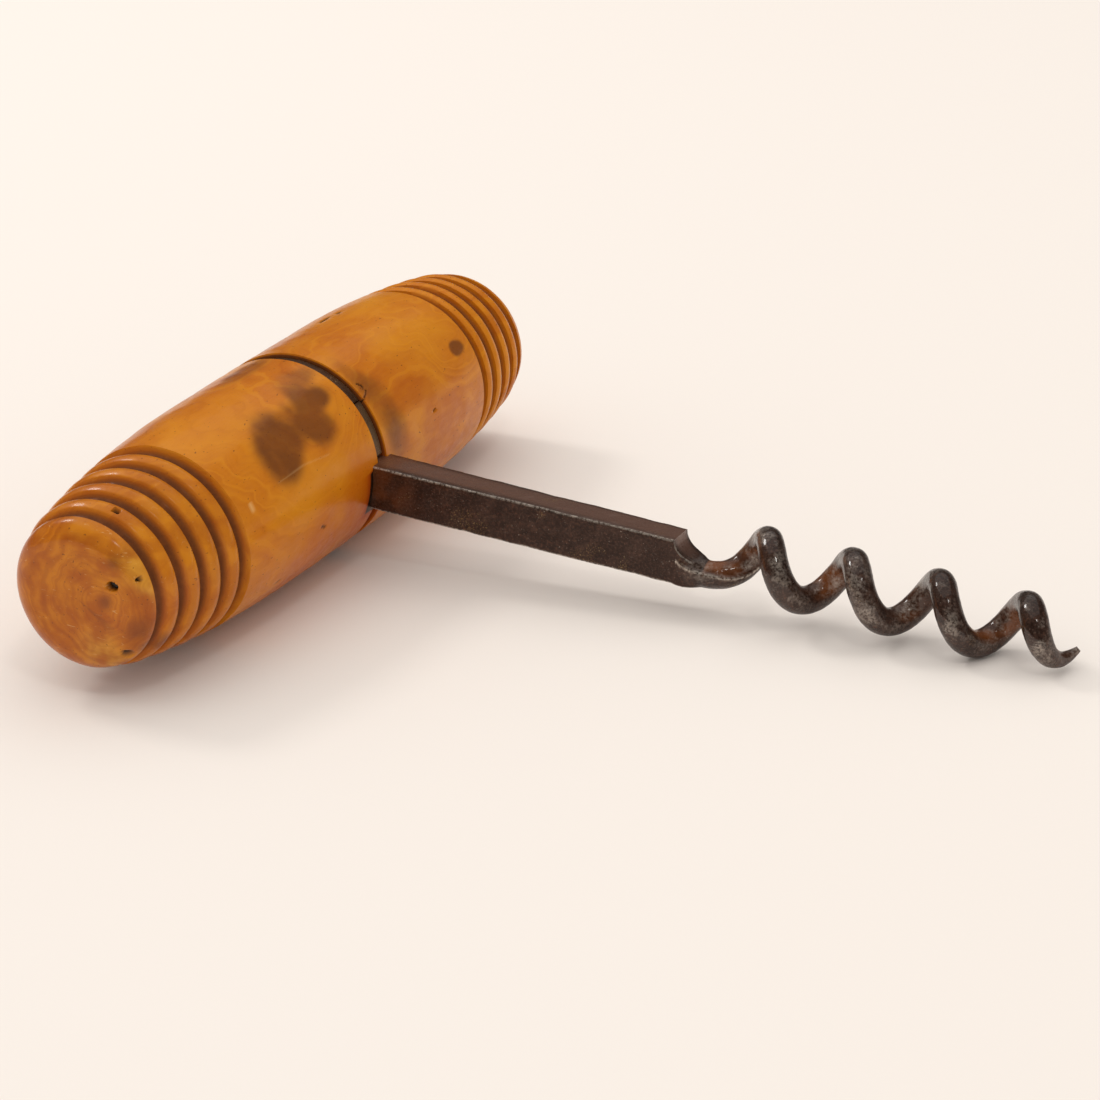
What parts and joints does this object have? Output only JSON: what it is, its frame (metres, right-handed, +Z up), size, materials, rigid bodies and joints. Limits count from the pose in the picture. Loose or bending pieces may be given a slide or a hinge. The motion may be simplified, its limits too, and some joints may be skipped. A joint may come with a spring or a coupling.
{
  "type": "corkscrew",
  "caption": "Direct-pull corkscrew with a turned wooden cross handle, ringed near its ends, and a forged iron shank drawn out into a helical wire worm, lying on its side.",
  "frame": {"origin": "centre of the bounding box's underside, on the table the part lies on", "axes": "+X from the handle towards the worm's point, +Y along the handle, +Z up from the table"},
  "size_m": [0.1269, 0.1056, 0.028],
  "materials": {
    "varnished_wood": "old gloss varnish over turned boxwood, stained and knocked",
    "forged_iron": "dark forged iron, rubbed bright on its edges, with brown rust in its hollows",
    "band_iron": "dull olive-brown iron strip"
  },
  "bodies": {
    "root": {"handle": "varnished_wood", "shank_and_worm": "forged_iron", "band_front_piece": "band_iron", "band_upper_arc": "band_iron", "band_lower_arc": "band_iron", "rivet_washer": "band_iron"}
  },
  "joints": []
}
